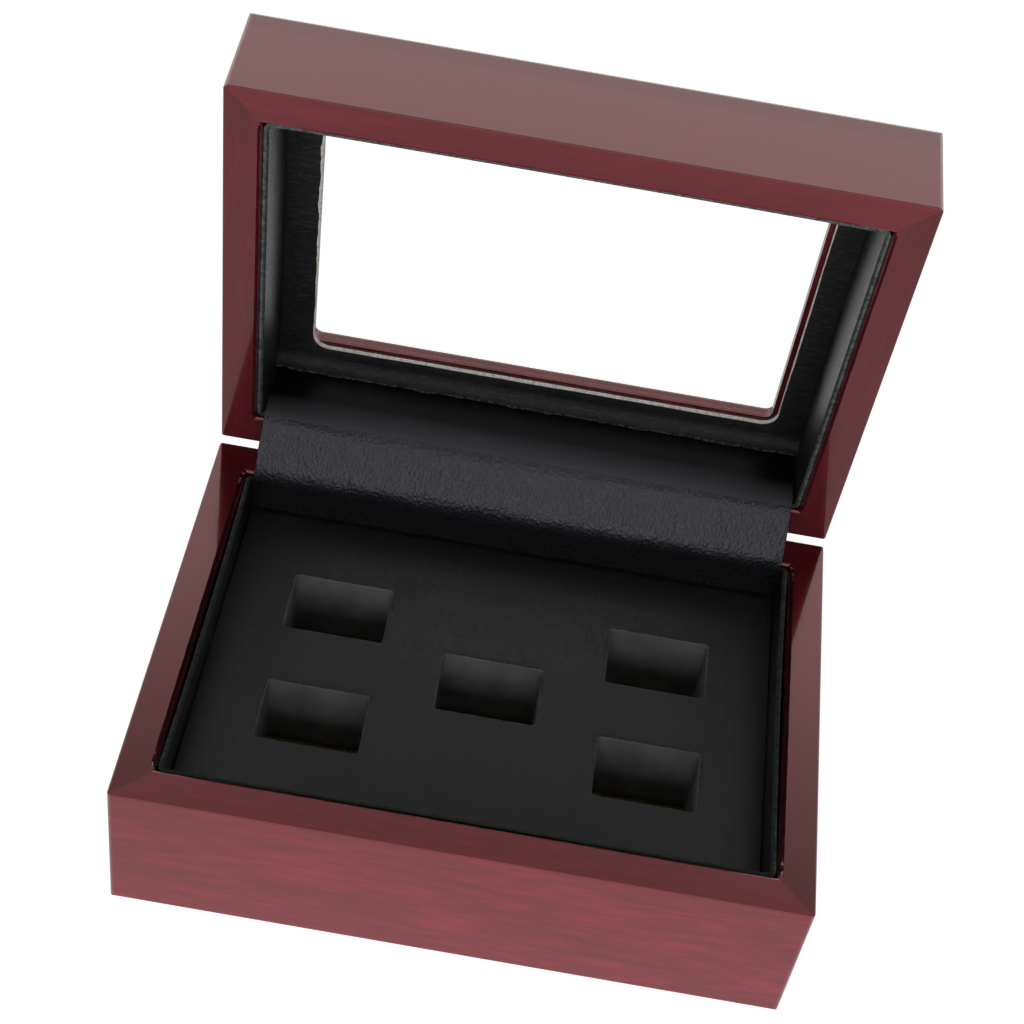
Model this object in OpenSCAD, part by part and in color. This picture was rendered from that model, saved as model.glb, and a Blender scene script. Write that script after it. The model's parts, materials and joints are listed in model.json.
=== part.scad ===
// Ring display box: a lacquered case with a glazed, hinged lid.
// The case stands on its felt, centred on the origin, with its front towards -Y.
// The lid is drawn shut and then turned back about the hinge pins.

/* [Case] */
// Width of the case, left to right
case_w = 160; // [140:1:240]
// Depth of the case, front to rear
case_d = 115; // [100:1:180]
// Height of the base's walls
base_h = 40.7; // [38:0.1:70]
// Height of the lid, over its top panel
lid_h = 27.5; // [22:0.5:50]
// Thickness of the wall boards
wall_t = 9; // [8:0.5:14]
// Rounding of the upright corners
corner_r = 1.2; // [0.4:0.1:3]
// Rounding of the bottom edge outside
foot_r = 1; // [0.4:0.1:3]
// Rounding of the rims outside
rim_out_r = 0.4; // [0.2:0.1:1.5]
// Rounding of the rims inside
rim_in_r = 0.8; // [0.2:0.1:1.5]
// Gap between the two rims when the lid is shut
rim_gap = 0.4; // [0.3:0.05:1]
// Angle that the lid stands open at
open_angle = 86; // [60:1:100]

/* [Bottom] */
// Thickness of the bottom panel
bottom_t = 4; // [3:0.5:8]
// Width of the rebate that the bottom panel sits in
bottom_lap = 4; // [2:0.5:6]
// Thickness of the felt under the case
felt_t = 0.5; // [0.4:0.1:2]
// Distance of the felt's edge from the case's edge
felt_inset = 2.5; // [1:0.5:10]

/* [Lid window] */
// Thickness of the lid's top panel
top_t = 6; // [5:0.5:10]
// Rounding of the top panel's upper edge
top_r = 1.5; // [0.4:0.1:3]
// Width of the panel left and right of the window
window_side = 19.3; // [16:0.1:40]
// Width of the panel before and behind the window
window_end = 18.2; // [16:0.1:40]
// Corner radius of the window
window_r = 2; // [1:0.5:10]
// Rounding of the window's outer edge
window_edge_r = 1.2; // [0.4:0.1:2]
// Thickness of the pane
pane_t = 2; // [1.5:0.1:3]
// How far the pane reaches under the panel all round
pane_lap = 3; // [2:0.5:5]
// Thickness of the covered card that holds the pane
card_t = 1.1; // [0.8:0.1:2]
// How far the card's opening stands back from the window
card_reveal = 0.3; // [0:0.1:1.5]
// Corner radius of the card's opening
card_r = 4; // [2:0.5:12]

/* [Linings] */
// Thickness of the covered card on the walls
lining_t = 1.3; // [0.8:0.1:3]
// Gap between the lining and the wood
lining_gap = 0.1; // [0.05:0.05:0.5]
// How far the lining's edge lies below the rim
lining_drop = 0.8; // [0.3:0.1:3]
// Corner radius of the lining inside
lining_r = 0.7; // [0.5:0.1:8]

/* [Ring insert] */
// Depth of the insert's face below the base's rim
insert_drop = 11; // [5:0.5:13]
// Gap round the insert
insert_gap = 0.3; // [0.1:0.05:1]
// Thickness of the cover's leathercloth
skin_t = 0.5; // [0.3:0.1:1]
// Depth of the cover's turned-down edge
skirt_h = 8; // [4:0.5:15]
// Depth that the cover is folded into each slot
slot_fold = 22; // [4:0.5:22]
// Thickness of the board under the cover
board_t = 3; // [2:0.5:5]
// Length of a ring slot
slot_w = 25; // [18:0.5:32]
// Width of a ring slot
slot_d = 17.4; // [12:0.1:22]
// Depth of a ring slot below the insert's face
slot_h = 22.5; // [22:0.5:25]
// Distance of the outer slots from the middle, left and right
slot_x = 40.6; // [30:0.1:55]
// Distance of the outer slots from the middle, front and rear
slot_y = 17.5; // [14:0.1:30]

/* [Hinges] */
// Length of a hinge
hinge_l = 25; // [18:1:40]
// Distance of each hinge from the side of the case
hinge_inset = 21.5; // [12:0.5:30]
// Width of a leaf inside the wall
leaf_w = 6.6; // [5:0.1:7]
// Thickness of a leaf
leaf_t = 0.9; // [0.6:0.1:1.2]
// Distance of the pin behind the wall's face
pin_out = 1; // [0.5:0.1:2]
// Radius of the knuckles
knuckle_r = 1.5; // [1.2:0.1:2.5]
// Radius of the pin
pin_r = 0.6; // [0.4:0.1:1]
// Number of knuckles on a hinge
knuckles = 5; // [3:2:9]
// Running clearance of the pin
pin_fit = 0.05; // [0.02:0.01:0.1]
// Radius of a screw's shank
screw_r = 0.9; // [0.6:0.1:1.2]
// Length of a screw
screw_l = 7; // [5:0.5:12]
// Distance of a screw from the end of its leaf
screw_end = 5; // [3:0.5:8]

/* [Hinge cover] */
// Thickness of the leathercloth over the hinges
cover_t = 0.7; // [0.4:0.1:1.2]
// Gap between the cover's ends and the linings' round corners
cover_end_gap = 0.1; // [0.1:0.1:20]
// Distance of the cover's upper end from the window card
cover_seam = 2; // [0.5:0.5:8]
// Height of the cover's bend above the middle of the rims
cover_rise = 0.6; // [0.4:0.1:2]
// Radius of the cover's bends
cover_r = 3; // [1.5:0.1:5]

/* [Hidden] */
$fn = 48;

// Colours
wood_col = "#5e1a22";
leather_col = "#1d1d20";
felt_col = "#141414";
foam_col = "#a8905c";
board_col = "#b99a6b";
glass_col = [0.85, 0.9, 0.92, 0.35];
brass_col = "#b08d4c";

// Levels
rim_z = felt_t + base_h;
lid_z = rim_z + rim_gap;
lid_wall_h = lid_h - top_t;
panel_z = lid_z + lid_wall_h;
card_z = panel_z - card_t;
floor_z = felt_t + bottom_t;
insert_z = rim_z - insert_drop;
skin_z = insert_z - skin_t;
insert_board_z = skin_z - board_t;

// Hinge axis, and the middles of the two hinges along it
hinge_y = case_d / 2 + pin_out;
hinge_z = rim_z + rim_gap / 2;
hinge_x = case_w / 2 - hinge_inset - hinge_l / 2;
knuckle_step = hinge_l / knuckles;

// Clearances
fit = 0.1;
leaf_fit = 0.15;
knuckle_fit = 0.25;
knuckle_side_fit = 0.15;
screw_fit = 0.05;
cover_foot_gap = 0.2;

// How far a cut runs past the face that it opens
past = 1;

// Plan sizes, as [width, depth]
case_plan = [case_w, case_d];
inside_plan = case_plan - 2 * [wall_t, wall_t];
lining_plan = inside_plan - 2 * (lining_gap + lining_t) * [1, 1];
insert_plan = lining_plan - 2 * insert_gap * [1, 1];
insert_core_plan = insert_plan - 2 * skin_t * [1, 1];
window_plan = case_plan - 2 * [window_side, window_end];
slot_plan = [slot_w, slot_d];
slot_hole_plan = slot_plan + 2 * skin_t * [1, 1];

// Middles of the five ring slots
slot_middles = concat(
    [[0, 0]],
    [for (side = [-1, 1], row = [-1, 1]) [side * slot_x, row * slot_y]]
);

// Middles of the screws along a leaf, and their distance from the rear face
screw_offsets = [screw_end - hinge_l / 2, hinge_l / 2 - screw_end];
screw_y = case_d / 2 - leaf_w / 2;
screw_head_r = screw_r + leaf_t;

// A rectangle with round corners, centred
module round_rect(plan, r) {
    inner = plan - 2 * r * [1, 1];
    square([plan[0], inner[1]], center = true);
    square([inner[0], plan[1]], center = true);
    for (x = [-1, 1], y = [-1, 1])
        translate([x * inner[0] / 2, y * inner[1] / 2]) circle(r);
}

// Lays an outline of Y and Z along X, from the origin
module along_x(length) {
    rotate([90, 0, 90]) linear_extrude(length) children();
}

// Carries a profile round a rectangle with round corners. The profile's x
// runs outwards from the rectangle and its y is the height.
module round_frame(plan, r) {
    straight = plan - 2 * r * [1, 1];
    for (turn = [0, 180]) rotate(turn) {
        translate([-straight[0] / 2, plan[1] / 2, 0]) along_x(straight[0]) children();
        rotate(90) translate([-straight[1] / 2, plan[0] / 2, 0]) along_x(straight[1]) children();
        translate([straight[0] / 2, straight[1] / 2, 0])
            rotate_extrude(angle = 90) translate([r, 0]) children();
        translate([-straight[0] / 2, straight[1] / 2, 0])
            rotate(90) rotate_extrude(angle = 90) translate([r, 0]) children();
    }
}

// Turns what is drawn on the shut lid back to where it stands open
module open_lid() {
    translate([0, hinge_y, hinge_z])
        rotate([-open_angle, 0, 0])
            translate([0, -hinge_y, -hinge_z]) children();
}

// Section of a wall board: x is 0 at the outer face, y is 0 at the rim's far edge
module board_section(h, outer_r) {
    half = h / 2;
    translate([0, outer_r]) square([wall_t, half - outer_r]);
    translate([outer_r, 0]) square([wall_t - outer_r, half]);
    if (outer_r > 0) translate([outer_r, outer_r]) circle(outer_r);
    translate([0, half]) {
        square([wall_t, half - rim_in_r]);
        square([wall_t - rim_in_r, half - rim_out_r]);
        translate([rim_out_r, 0]) square([wall_t - rim_out_r - rim_in_r, half]);
        translate([rim_out_r, half - rim_out_r]) circle(rim_out_r);
        translate([wall_t - rim_in_r, half - rim_in_r]) circle(rim_in_r);
    }
}

// Section of a base board, with the rebate for the bottom panel
module base_section() {
    difference() {
        board_section(base_h, foot_r);
        translate([wall_t - bottom_lap, -past]) square([bottom_lap + past, bottom_t + past]);
    }
}

// Section of a lid board, rim down, glued under the top panel
module lid_section() {
    translate([0, lid_wall_h]) mirror([0, 1]) board_section(lid_wall_h, 0);
}

// A board on the -Y side of a frame, mitred at both ends. run is its
// length, reach its outer face's distance from the middle.
module mitred_board(run, reach, h) {
    intersection() {
        translate([-run / 2, -reach, 0]) along_x(run) children();
        linear_extrude(h) polygon([
            [-run / 2, -reach], [run / 2, -reach],
            [run / 2 - wall_t, wall_t - reach], [wall_t - run / 2, wall_t - reach]
        ]);
        linear_extrude(h) round_rect([run, 2 * reach], corner_r);
    }
}

// Positions of a frame's four boards
module on_front(h) { mitred_board(case_w, case_d / 2, h) children(); }
module on_rear(h) { mirror([0, 1, 0]) mitred_board(case_w, case_d / 2, h) children(); }
module on_left(h) { rotate(-90) mitred_board(case_d, case_w / 2, h) children(); }
module on_right(h) { rotate(90) mitred_board(case_d, case_w / 2, h) children(); }

// Room for one hinge in the rear boards, drawn shut: the leaves' beds, the
// groove for the knuckles and the screws' pilot holes
module hinge_room() {
    room_l = hinge_l + 2 * leaf_fit;
    bed_y = case_d / 2 - leaf_w - leaf_fit;
    bed_t = leaf_t + rim_gap / 2 + fit;
    translate([-room_l / 2, bed_y, hinge_z - bed_t])
        cube([room_l, leaf_w + leaf_fit + pin_out, 2 * bed_t]);
    translate([-room_l / 2, hinge_y, hinge_z])
        rotate([0, 90, 0]) cylinder(r = knuckle_r + knuckle_fit, h = room_l);
    for (x = screw_offsets) translate([x, screw_y, hinge_z])
        cylinder(r = screw_r + screw_fit, h = 2 * (screw_l + past), center = true);
}

module both_hinge_rooms() {
    for (side = [-1, 1]) translate([side * hinge_x, 0, 0]) hinge_room();
}

// Base

module base_front_board() {
    color(wood_col) translate([0, 0, felt_t]) on_front(base_h) base_section();
}

module base_rear_board() {
    color(wood_col) difference() {
        translate([0, 0, felt_t]) on_rear(base_h) base_section();
        both_hinge_rooms();
    }
}

module base_left_board() {
    color(wood_col) translate([0, 0, felt_t]) on_left(base_h) base_section();
}

module base_right_board() {
    color(wood_col) translate([0, 0, felt_t]) on_right(base_h) base_section();
}

module base_bottom_panel() {
    plan = inside_plan + 2 * (bottom_lap - fit) * [1, 1];
    color(board_col) translate([0, 0, felt_t + bottom_t / 2])
        cube([plan[0], plan[1], bottom_t], center = true);
}

module base_felt() {
    color(felt_col) linear_extrude(felt_t)
        round_rect(case_plan - 2 * felt_inset * [1, 1], corner_r);
}

// Section of a wall lining, with its covered edge rounded
module lining_section(h) {
    edge_r = lining_t / 2;
    square([lining_t, h - edge_r]);
    translate([edge_r, h - edge_r]) circle(edge_r);
}

module base_lining() {
    h = rim_z - lining_drop - floor_z;
    color(leather_col) translate([0, 0, floor_z])
        round_frame(lining_plan, lining_r) lining_section(h);
}

// Ring insert

module slot_holes(plan, z, h) {
    for (middle = slot_middles) translate([middle[0], middle[1], z + h / 2])
        cube([plan[0], plan[1], h], center = true);
}

module insert_foam() {
    core_h = insert_board_z - floor_z;
    pocket_z = insert_z - slot_h;
    color(foam_col) difference() {
        translate([0, 0, floor_z]) linear_extrude(core_h)
            round_rect(insert_core_plan, lining_r);
        slot_holes(slot_hole_plan, pocket_z, slot_h);
    }
}

module insert_board() {
    color(board_col) difference() {
        translate([0, 0, insert_board_z]) linear_extrude(board_t)
            round_rect(insert_core_plan, lining_r);
        slot_holes(slot_hole_plan, insert_board_z - past, board_t + 2 * past);
    }
}

module insert_cover() {
    color(leather_col) difference() {
        union() {
            difference() {
                translate([0, 0, insert_z - skirt_h]) linear_extrude(skirt_h)
                    round_rect(insert_plan, lining_r);
                translate([0, 0, insert_z - skirt_h - past])
                    linear_extrude(skirt_h - skin_t + past)
                        round_rect(insert_core_plan, lining_r);
            }
            slot_holes(slot_hole_plan, insert_z - slot_fold, slot_fold);
        }
        slot_holes(slot_plan, insert_z - slot_fold - past, slot_fold + 2 * past);
    }
}

// Lid, drawn shut

module lid_front_board() {
    color(wood_col) open_lid() translate([0, 0, lid_z]) on_front(lid_wall_h) lid_section();
}

module lid_rear_board() {
    color(wood_col) open_lid() difference() {
        translate([0, 0, lid_z]) on_rear(lid_wall_h) lid_section();
        both_hinge_rooms();
    }
}

module lid_left_board() {
    color(wood_col) open_lid() translate([0, 0, lid_z]) on_left(lid_wall_h) lid_section();
}

module lid_right_board() {
    color(wood_col) open_lid() translate([0, 0, lid_z]) on_right(lid_wall_h) lid_section();
}

// Outline of the top panel seen from one side, its upper edges rounded
module panel_outline(width) {
    translate([-width / 2, 0]) square([width, top_t - top_r]);
    translate([top_r - width / 2, 0]) square([width - 2 * top_r, top_t]);
    for (side = [-1, 1]) translate([side * (width / 2 - top_r), top_t - top_r]) circle(top_r);
}

// What the rounding of the window's outer edge takes off
module window_edge_cut() {
    difference() {
        translate([-past / 2, 0]) square([window_edge_r + past / 2, window_edge_r + past]);
        translate([window_edge_r, 0]) circle(window_edge_r);
    }
}

module lid_top_panel() {
    bed_plan = window_plan + 2 * (pane_lap + fit) * [1, 1];
    color(wood_col) open_lid() translate([0, 0, panel_z]) difference() {
        intersection() {
            linear_extrude(top_t) round_rect(case_plan, corner_r);
            translate([-case_w / 2, 0, 0]) along_x(case_w) panel_outline(case_d);
            rotate(90) translate([-case_d / 2, 0, 0]) along_x(case_d) panel_outline(case_w);
        }
        translate([0, 0, -past]) linear_extrude(top_t + 2 * past)
            round_rect(window_plan, window_r);
        translate([0, 0, top_t - window_edge_r])
            round_frame(window_plan, window_r) window_edge_cut();
        cube([bed_plan[0], bed_plan[1], 2 * pane_t], center = true);
    }
}

module window_pane() {
    plan = window_plan + 2 * pane_lap * [1, 1];
    color(glass_col) open_lid() translate([0, 0, panel_z + pane_t / 2])
        cube([plan[0], plan[1], pane_t], center = true);
}

module window_card() {
    color(leather_col) open_lid() translate([0, 0, card_z]) difference() {
        linear_extrude(card_t) square(inside_plan - 2 * fit * [1, 1], center = true);
        translate([0, 0, -past]) linear_extrude(card_t + 2 * past)
            round_rect(window_plan + 2 * card_reveal * [1, 1], card_r);
    }
}

module lid_lining() {
    h = card_z - lid_z - lining_drop;
    color(leather_col) open_lid() translate([0, 0, card_z]) mirror([0, 0, 1])
        round_frame(lining_plan, lining_r) lining_section(h);
}

// Hinges, drawn shut

// The knuckles of one leaf: first is 0 for the base's leaf and 1 for the lid's
module knuckle_row(first, r, side_fit) {
    for (i = [first : 2 : knuckles - 1])
        translate([i * knuckle_step - hinge_l / 2 + side_fit, hinge_y, hinge_z])
            rotate([0, 90, 0]) cylinder(r = r, h = knuckle_step - 2 * side_fit);
}

// One leaf, lying below the axis when rise is -1 and above it when rise is 1
module leaf(first, rise) {
    plate_z = hinge_z + rise * (rim_gap + leaf_t) / 2;
    difference() {
        union() {
            translate([-hinge_l / 2, case_d / 2 - leaf_w, plate_z - leaf_t / 2])
                cube([hinge_l, leaf_w + pin_out, leaf_t]);
            knuckle_row(first, knuckle_r, knuckle_side_fit / 2);
        }
        knuckle_row(1 - first, knuckle_r + knuckle_fit, -knuckle_side_fit / 2);
        translate([-hinge_l, hinge_y, hinge_z])
            rotate([0, 90, 0]) cylinder(r = pin_r + pin_fit, h = 2 * hinge_l);
        for (x = screw_offsets) translate([x, screw_y, plate_z - leaf_t / 2]) {
            if (rise < 0) cylinder(r1 = screw_r + screw_fit, r2 = screw_head_r + screw_fit, h = leaf_t);
            else cylinder(r1 = screw_head_r + screw_fit, r2 = screw_r + screw_fit, h = leaf_t);
        }
    }
}

module hinge_base_leaf_left() { color(brass_col) translate([-hinge_x, 0, 0]) leaf(0, -1); }
module hinge_base_leaf_right() { color(brass_col) translate([hinge_x, 0, 0]) leaf(0, -1); }

module hinge_lid_leaf_left() {
    color(brass_col) open_lid() translate([-hinge_x, 0, 0]) leaf(1, 1);
}

module hinge_lid_leaf_right() {
    color(brass_col) open_lid() translate([hinge_x, 0, 0]) leaf(1, 1);
}

module pin() {
    translate([-hinge_l / 2, hinge_y, hinge_z]) rotate([0, 90, 0]) cylinder(r = pin_r, h = hinge_l);
}

module hinge_pin_left() { color(brass_col) translate([-hinge_x, 0, 0]) pin(); }
module hinge_pin_right() { color(brass_col) translate([hinge_x, 0, 0]) pin(); }

// A countersunk screw with its head's face at the origin, pointing down
module screw() {
    translate([0, 0, -leaf_t]) cylinder(r1 = screw_r, r2 = screw_head_r, h = leaf_t);
    translate([0, 0, -screw_l]) cylinder(r = screw_r, h = screw_l);
}

module on_screws() {
    for (side = [-1, 1], x = screw_offsets) translate([side * hinge_x + x, screw_y, 0]) children();
}

module base_hinge_screws() {
    color(brass_col) on_screws() translate([0, 0, rim_z]) screw();
}

module lid_hinge_screws() {
    color(brass_col) open_lid() on_screws() translate([0, 0, lid_z]) mirror([0, 0, 1]) screw();
}

// Hinge cover: leathercloth up the base's rear lining, over the rims and
// along the lid's rear lining. Its section is worked out from the hinge
// axis: the lid's half mirrors the base's half across the middle of the fold.

cover_y = hinge_y - lining_plan[1] / 2 + fit + cover_t / 2;
cover_foot = insert_z + cover_foot_gap - hinge_z;
cover_head = hinge_z - (card_z - cover_seam);
fold = open_angle / 2;
fold_axis = [-cos(fold), sin(fold)];
bend_steps = 6;

// One face of one half, from its free end to the middle; side is 1 for the
// face towards the front, -1 for the face towards the wood
function cover_half(side, end) = concat(
    [[-cover_y - side * cover_t / 2, end]],
    [for (i = [0 : bend_steps])
        let (a = 180 - fold * i / bend_steps, r = cover_r + side * cover_t / 2)
        [cover_r - cover_y + r * cos(a),
         cover_rise - cover_r * tan(fold / 2) + r * sin(a)]]
);

function across_fold(p) = 2 * (p * fold_axis) * fold_axis - p;
function mirrored(points) = [for (p = points) across_fold(p)];
function reversed(points) = [for (i = [len(points) - 1 : -1 : 0]) points[i]];

module hinge_cover() {
    length = lining_plan[0] - 2 * (lining_r + cover_end_gap);
    section = concat(
        cover_half(1, cover_foot),
        reversed(mirrored(cover_half(1, cover_head))),
        mirrored(cover_half(-1, cover_head)),
        reversed(cover_half(-1, cover_foot))
    );
    color(leather_col) translate([-length / 2, hinge_y, hinge_z])
        along_x(length) polygon(section);
}

base_front_board();
base_rear_board();
base_left_board();
base_right_board();
base_bottom_panel();
base_felt();
base_lining();
insert_foam();
insert_board();
insert_cover();
lid_front_board();
lid_rear_board();
lid_left_board();
lid_right_board();
lid_top_panel();
window_pane();
window_card();
lid_lining();
hinge_base_leaf_left();
hinge_base_leaf_right();
hinge_lid_leaf_left();
hinge_lid_leaf_right();
hinge_pin_left();
hinge_pin_right();
base_hinge_screws();
lid_hinge_screws();
hinge_cover();
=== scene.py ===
"""Dresses a ring display box: lacquered boards, a glazed lid, black leathercloth linings and
an insert with five ring slots. Lengths are in millimetres until a mesh is made."""

import json
import math

import bpy
import numpy as np
from mathutils import Matrix, Vector


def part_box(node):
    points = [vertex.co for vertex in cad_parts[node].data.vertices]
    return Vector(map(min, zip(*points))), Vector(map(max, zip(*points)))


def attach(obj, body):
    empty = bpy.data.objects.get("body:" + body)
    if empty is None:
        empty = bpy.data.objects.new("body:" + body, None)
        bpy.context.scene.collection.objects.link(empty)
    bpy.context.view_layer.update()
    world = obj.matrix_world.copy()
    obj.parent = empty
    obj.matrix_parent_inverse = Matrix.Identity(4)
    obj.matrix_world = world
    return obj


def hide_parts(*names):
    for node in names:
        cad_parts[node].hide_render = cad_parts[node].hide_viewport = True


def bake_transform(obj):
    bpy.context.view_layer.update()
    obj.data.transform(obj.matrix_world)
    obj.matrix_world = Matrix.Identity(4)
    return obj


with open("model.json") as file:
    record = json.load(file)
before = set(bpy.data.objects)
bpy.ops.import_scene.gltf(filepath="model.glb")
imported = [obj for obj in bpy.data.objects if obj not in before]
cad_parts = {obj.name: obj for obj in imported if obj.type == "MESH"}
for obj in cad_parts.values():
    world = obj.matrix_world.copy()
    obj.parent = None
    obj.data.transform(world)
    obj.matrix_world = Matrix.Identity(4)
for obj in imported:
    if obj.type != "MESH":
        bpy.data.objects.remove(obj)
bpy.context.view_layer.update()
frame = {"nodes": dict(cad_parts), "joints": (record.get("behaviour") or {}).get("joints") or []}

MM = 0.001
scene = bpy.context.scene

# Camera. The box is seen from the front and above, with the camera rolled
# to the right. Its place is measured from the middle of the foot of the box.
camera_place = Vector((-2.14, -318.82, 419.25)) * MM
camera_height_angle = math.radians(45.678)
camera_side_angle = math.radians(-0.0505)
camera_roll = math.radians(9.863)
camera_lens = 71.767
sensor_width = 36

camera = bpy.data.objects.new("camera", bpy.data.cameras.new("camera"))
camera.data.sensor_width = sensor_width
camera.data.lens = camera_lens
camera.data.clip_start = 0.01
camera.matrix_world = (
    Matrix.Translation(camera_place)
    @ Matrix.Rotation(camera_side_angle, 4, "Z")
    @ Matrix.Rotation(math.radians(90) - camera_height_angle, 4, "X")
    @ Matrix.Rotation(camera_roll, 4, "Z")
)
scene.collection.objects.link(camera)
scene.camera = camera


# Studio. White paper that gives light back, a dim room with a pale panel behind, and two
# soft boxes in front. What is mirrored has levels of its own: a bright panel behind that
# fades with height, a sheet overhead that is brighter in front, and a greyer floor.
def linear(code):
    """Linear red, green, blue and alpha of an sRGB hex colour."""
    srgb = np.array([int(code[i : i + 2], 16) for i in (1, 3, 5)]) / 255
    rgb = np.where(srgb <= 0.04045, srgb / 12.92, ((srgb + 0.055) / 1.055) ** 2.4)
    return (*rgb.tolist(), 1.0)


def add(tree, kind, settings=None, **links):
    """Adds a node. settings holds its properties and its sockets' values, and links its
    sockets' sources. A socket is given by name, with _ for a space in links, or as _ and
    its number."""
    node = tree.nodes.new(kind)

    def socket(name):
        return node.inputs[int(name[1:]) if name[1:].isdigit() else name.replace("_", " ")]

    for name, value in (settings or {}).items():
        if hasattr(node, name):
            setattr(node, name, value)
        else:
            socket(name).default_value = value
    for name, source in links.items():
        tree.links.new(source, socket(name))
    return node


rear_light = 0.2
room_light = 0.03
mirrored_levels = ((0.6, 0.9), (0.68, 0.92), (0.74, 0.8), (0.78, 0.55), (0.82, 0.36), (0.9, 0.26))
mirrored_full = 1.5
taken_by_glass = 0.14
overhead_rear, overhead_front = 0.42, 1.0
overhead_from, overhead_to = 0.6, 0.74
rear_from, rear_full = 0.2, 0.62
fade_from, fade_to = 0.64, 0.88

world = bpy.data.worlds.new("studio")
world.use_nodes = True
scene.world = world
tree = world.node_tree
tree.nodes.clear()
place = add(tree, "ShaderNodeTexCoord")
toward = add(tree, "ShaderNodeSeparateXYZ", Vector=place.outputs["Generated"])
low_part = add(
    tree,
    "ShaderNodeMapRange",
    {
        "From Min": fade_from,
        "From Max": fade_to,
        "To Min": 1.0,
        "To Max": 0.0,
        "interpolation_type": "SMOOTHSTEP",
    },
    Value=toward.outputs["Z"],
)
rear_part = add(
    tree,
    "ShaderNodeMapRange",
    {"From Min": rear_from, "From Max": rear_full, "interpolation_type": "SMOOTHSTEP"},
    Value=toward.outputs["Y"],
)
rear_panel = add(
    tree, "ShaderNodeMath", {"operation": "MULTIPLY"}, _0=low_part.outputs[0], _1=rear_part.outputs[0]
)
glow = add(
    tree, "ShaderNodeMapRange", {"To Min": room_light, "To Max": rear_light}, Value=rear_panel.outputs[0]
)
ray = add(tree, "ShaderNodeLightPath")
levels = add(tree, "ShaderNodeValToRGB", {}, Fac=toward.outputs["Z"])
ramp = levels.color_ramp
for number, (height, level) in enumerate(mirrored_levels):
    stop = ramp.elements[number] if number < 2 else ramp.elements.new(height)
    stop.position, stop.color = height, (level, level, level, 1)
reflected = add(
    tree, "ShaderNodeMath", {"operation": "MULTIPLY"}, _0=levels.outputs["Color"], _1=rear_part.outputs[0]
)
scaled = add(
    tree, "ShaderNodeMath", {"operation": "MULTIPLY", "_1": mirrored_full}, _0=reflected.outputs[0]
)
overhead_level = add(
    tree,
    "ShaderNodeMapRange",
    {"From Min": 0.25, "From Max": -0.35, "To Min": overhead_rear, "To Max": overhead_front},
    Value=toward.outputs["Y"],
)
overhead_part = add(
    tree,
    "ShaderNodeMapRange",
    {"From Min": overhead_from, "From Max": overhead_to},
    Value=toward.outputs["Z"],
)
overhead = add(
    tree,
    "ShaderNodeMath",
    {"operation": "MULTIPLY"},
    _0=overhead_level.outputs["Result"],
    _1=overhead_part.outputs["Result"],
)
mirrored = add(
    tree, "ShaderNodeMath", {"operation": "MAXIMUM"}, _0=scaled.outputs[0], _1=overhead.outputs[0]
)
lit = add(
    tree,
    "ShaderNodeMix",
    {},
    Factor=ray.outputs["Is Glossy Ray"],
    A=glow.outputs["Result"],
    B=mirrored.outputs[0],
)


def as_seen(tree, ray, lit, direct):
    """The level that a ray meets: lit, or direct where the camera sees it, also through
    the window, where it is raised by what the glass takes."""
    seen = add(
        tree,
        "ShaderNodeMath",
        {"operation": "MAXIMUM"},
        _0=ray.outputs["Is Camera Ray"],
        _1=ray.outputs["Is Transmission Ray"],
    )
    white = add(
        tree,
        "ShaderNodeMath",
        {"operation": "MULTIPLY_ADD", "_1": taken_by_glass, "_2": direct},
        _0=ray.outputs["Is Transmission Ray"],
    )
    level = add(tree, "ShaderNodeMix", {}, Factor=seen.outputs[0], A=lit, B=white.outputs[0])
    return level.outputs["Result"]


strength = as_seen(tree, ray, lit.outputs["Result"], 1.0)
background = add(tree, "ShaderNodeBackground", {"Color": (1, 1, 1, 1)}, Strength=strength)
add(tree, "ShaderNodeOutputWorld", Surface=background.outputs["Background"])


def soft_box(name, size, place, target, radiance):
    """A rectangular lamp of that width and height, in metres, aimed at target."""
    data = bpy.data.lights.new(name, "AREA")
    data.shape = "RECTANGLE"
    data.size, data.size_y = size
    data.energy = radiance * math.pi * size[0] * size[1]
    lamp = bpy.data.objects.new(name, data)
    place, target = Vector(place), Vector(target)
    aim = (target - place).to_track_quat("-Z", "Y").to_matrix()
    lamp.matrix_world = Matrix.Translation(place) @ aim.to_4x4()
    scene.collection.objects.link(lamp)
    return lamp


soft_box("low_soft_box", (1.5, 0.4), (0, -1.1, 0.26), (0, 0, 0.04), 0.6)
soft_box("high_soft_box", (0.7, 0.4), (0, -1.1, 0.66), (0, 0, 0.05), 2.0)

floor_size = 6.0
paper = bpy.data.materials.new("white_paper")
paper.use_nodes = True
tree = paper.node_tree
tree.nodes.clear()
paper_glow = 0.98
paper_seen = 0.95
paper_mirrored_less = -0.56
ray = add(tree, "ShaderNodeLightPath")
lit = add(
    tree,
    "ShaderNodeMath",
    {"operation": "MULTIPLY_ADD", "_1": paper_mirrored_less, "_2": paper_glow},
    _0=ray.outputs["Is Glossy Ray"],
)
strength = as_seen(tree, ray, lit.outputs[0], paper_seen)
matt = add(tree, "ShaderNodeBsdfDiffuse", {"Color": linear("#ececec")})
glow = add(tree, "ShaderNodeEmission", {"Color": (1, 1, 1, 1)}, Strength=strength)
both = add(tree, "ShaderNodeAddShader", {}, _0=matt.outputs[0], _1=glow.outputs[0])
add(tree, "ShaderNodeOutputMaterial", Surface=both.outputs[0])


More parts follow.
